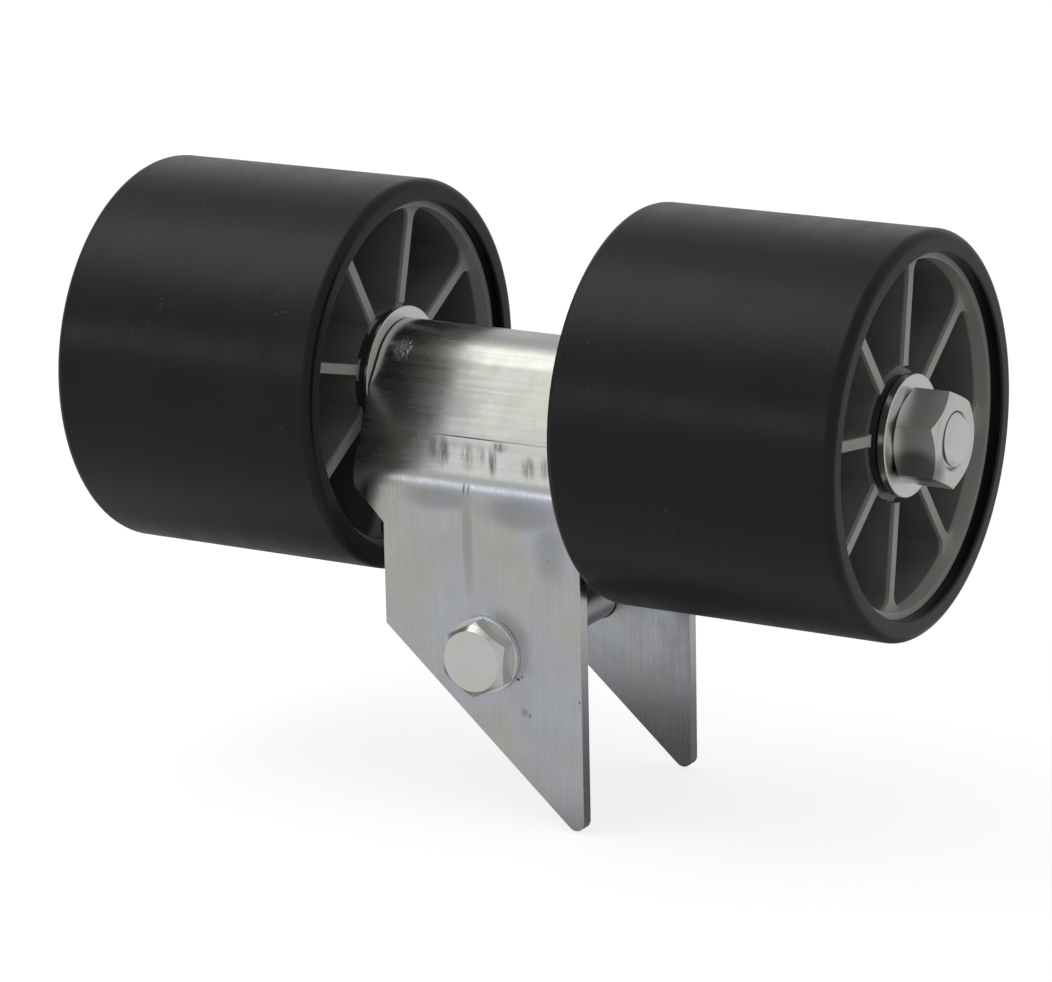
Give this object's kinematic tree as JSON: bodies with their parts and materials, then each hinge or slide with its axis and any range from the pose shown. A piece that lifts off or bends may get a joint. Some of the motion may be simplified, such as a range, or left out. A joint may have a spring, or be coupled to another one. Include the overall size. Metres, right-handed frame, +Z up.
{
  "type": "double roller",
  "caption": "Pair of rubber-covered rollers on one through axle, carried by a folded steel saddle bracket with two hanging cheeks that pivot on a cross bolt.",
  "frame": {"origin": "on the pivot bolt's axis, midway between the two cheeks", "axes": "+X along the roller axle towards its nut, +Y along the pivot bolt towards its nut, +Z up"},
  "size_m": [0.3284, 0.14, 0.2148],
  "materials": {
    "tyre_rubber": "satin black",
    "hub_plastic": "moulded grey",
    "black_bush": "smooth black",
    "zinc_plate": "zinc plated, brushed",
    "zinc_fastener": "bright zinc"
  },
  "bodies": {
    "carrier": {"bracket": "zinc_plate", "axle_tube": "zinc_plate", "axle_bolt": "zinc_fastener", "axle_nut": "zinc_fastener", "washer_inner_left": "zinc_fastener", "washer_inner_right": "zinc_fastener", "washer_outer_left": "zinc_fastener", "washer_outer_right": "zinc_fastener", "pivot_bolt": "zinc_fastener", "pivot_nut": "zinc_fastener", "pivot_washer_head": "zinc_fastener", "pivot_washer_nut": "zinc_fastener"},
    "left_roller": {"tyre_left": "tyre_rubber", "hub_left": "hub_plastic", "bush_left_outer": "black_bush", "bush_left_inner": "black_bush"},
    "right_roller": {"tyre_right": "tyre_rubber", "hub_right": "hub_plastic", "bush_right_outer": "black_bush", "bush_right_inner": "black_bush"}
  },
  "joints": [
    {"name": "left_roller_spin", "type": "hinge", "parent": "carrier", "child": "left_roller", "pos_m": [-0.10575, 0, 0.085], "axis": [1, 0, 0], "continuous": true},
    {"name": "right_roller_spin", "type": "hinge", "parent": "carrier", "child": "right_roller", "pos_m": [0.09475, 0, 0.085], "axis": [1, 0, 0], "continuous": true}
  ]
}
